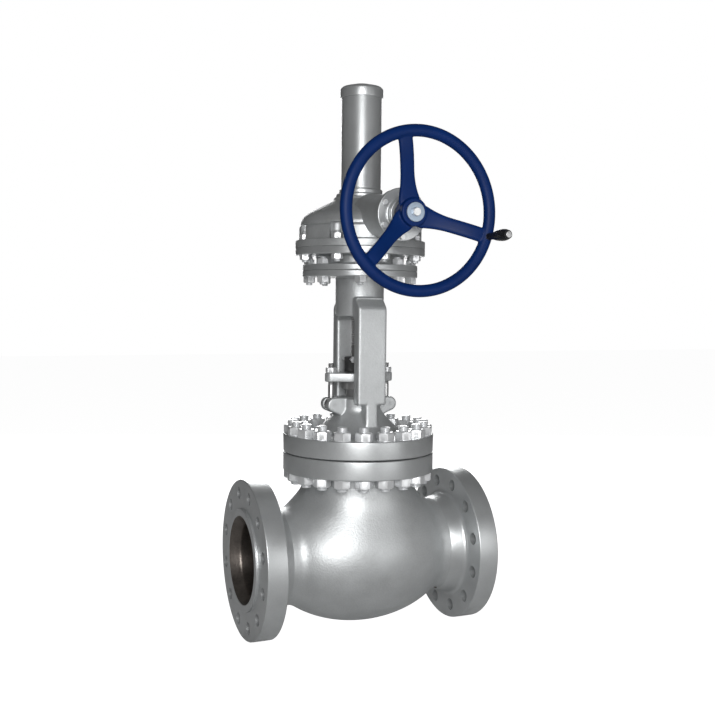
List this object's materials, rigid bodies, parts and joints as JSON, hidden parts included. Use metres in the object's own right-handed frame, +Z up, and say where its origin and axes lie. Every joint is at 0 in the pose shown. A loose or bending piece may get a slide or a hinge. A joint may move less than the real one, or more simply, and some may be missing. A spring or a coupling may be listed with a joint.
{
  "type": "globe valve with bevel gear operator",
  "caption": "Flanged globe valve with bolted bonnet, open yoke, rising stem and a bevel gear operator turned by a side handwheel.",
  "frame": {"origin": "where the pipe axis crosses the stem axis, inside the body", "axes": "+X along the pipe from inlet to outlet, -Y towards the handwheel, +Z up the stem"},
  "size_m": [0.66, 0.6772, 1.468],
  "materials": {
    "silver_paint": "satin silver-grey paint on cast steel",
    "zinc_plate": "bright zinc plating",
    "bright_steel": "machined steel",
    "hard_facing": "ground seat facing",
    "bronze": "machined bronze",
    "graphite": "pressed graphite",
    "seal_rubber": "matte rubber",
    "dark_steel": "blackened steel",
    "blue_paint": "gloss deep blue paint",
    "black_plastic": "black moulded plastic"
  },
  "bodies": {
    "valve": {"valve_body": "silver_paint", "seat_ring": "hard_facing", "bonnet_gasket": "graphite", "bonnet_yoke": "silver_paint", "backseat_bushing": "bronze", "packing_ring_1": "graphite", "packing_ring_2": "graphite", "packing_ring_3": "graphite", "packing_ring_4": "graphite", "packing_ring_5": "graphite", "gland_follower": "bright_steel", "gland_flange": "silver_paint", "gland_eyebolt_left": "bright_steel", "gland_eyebolt_right": "bright_steel", "eyebolt_pin_left": "bright_steel", "eyebolt_pin_right": "bright_steel", "gland_nut_left": "zinc_plate", "gland_nut_right": "zinc_plate", "gear_case_base": "silver_paint", "gear_case_cover": "silver_paint", "thrust_bearing_lower": "bright_steel", "thrust_bearing_upper": "bright_steel", "pinion_bearing_inner": "bright_steel", "pinion_bearing_outer": "bright_steel", "bearing_cap": "silver_paint", "shaft_seal": "seal_rubber", "cap_screw_1": "zinc_plate", "cap_screw_2": "zinc_plate", "cap_screw_3": "zinc_plate", "cap_screw_4": "zinc_plate", "cap_screw_5": "zinc_plate", "cap_screw_6": "zinc_plate", "tube_lock_ring": "silver_paint", "stem_cover_tube": "silver_paint", "tube_cap": "silver_paint"},
    "wheel_drive": {"handwheel": "blue_paint", "hub_washer": "zinc_plate", "hub_screw": "zinc_plate", "handle_bolt": "bright_steel", "wheel_key": "bright_steel", "input_shaft": "bright_steel", "pinion_key": "bright_steel", "bevel_pinion": "bright_steel"},
    "gear_drive": {"bevel_gear": "bright_steel", "gear_key": "bright_steel", "stem_nut": "bronze"},
    "stem_unit": {"stem": "bright_steel", "stem_guide": "dark_steel", "guide_screw": "zinc_plate"},
    "disc_unit": {"disc": "hard_facing", "disc_nut": "bright_steel"},
    "handle_unit": {"handle_grip": "black_plastic"}
  },
  "joints": [
    {"name": "handwheel_turn", "type": "hinge", "parent": "valve", "child": "wheel_drive", "pos_m": [0, 0, 0.8948], "axis": [0, -1, 0], "range_deg": [0, 7560]},
    {"name": "gear_turn", "type": "hinge", "parent": "valve", "child": "gear_drive", "pos_m": [0, 0, 0.8948], "axis": [0, 0, 1], "range_deg": [0, 2520]},
    {"name": "stem_lift", "type": "slide", "parent": "valve", "child": "stem_unit", "axis": [0, 0, 1], "range_m": [0, 0.056]},
    {"name": "disc_swivel", "type": "hinge", "parent": "stem_unit", "child": "disc_unit", "pos_m": [0, 0, 0.0226], "axis": [0, 0, 1], "continuous": true},
    {"name": "handle_spin", "type": "hinge", "parent": "wheel_drive", "child": "handle_unit", "pos_m": [0.18103, 0, 0.84049], "axis": [0, -1, 0], "continuous": true}
  ],
  "couplings": [
    {"joint": "gear_turn", "follows": "handwheel_turn", "ratio": 0.33333},
    {"joint": "stem_lift", "follows": "handwheel_turn", "m_per_rad": 0.00042441}
  ]
}
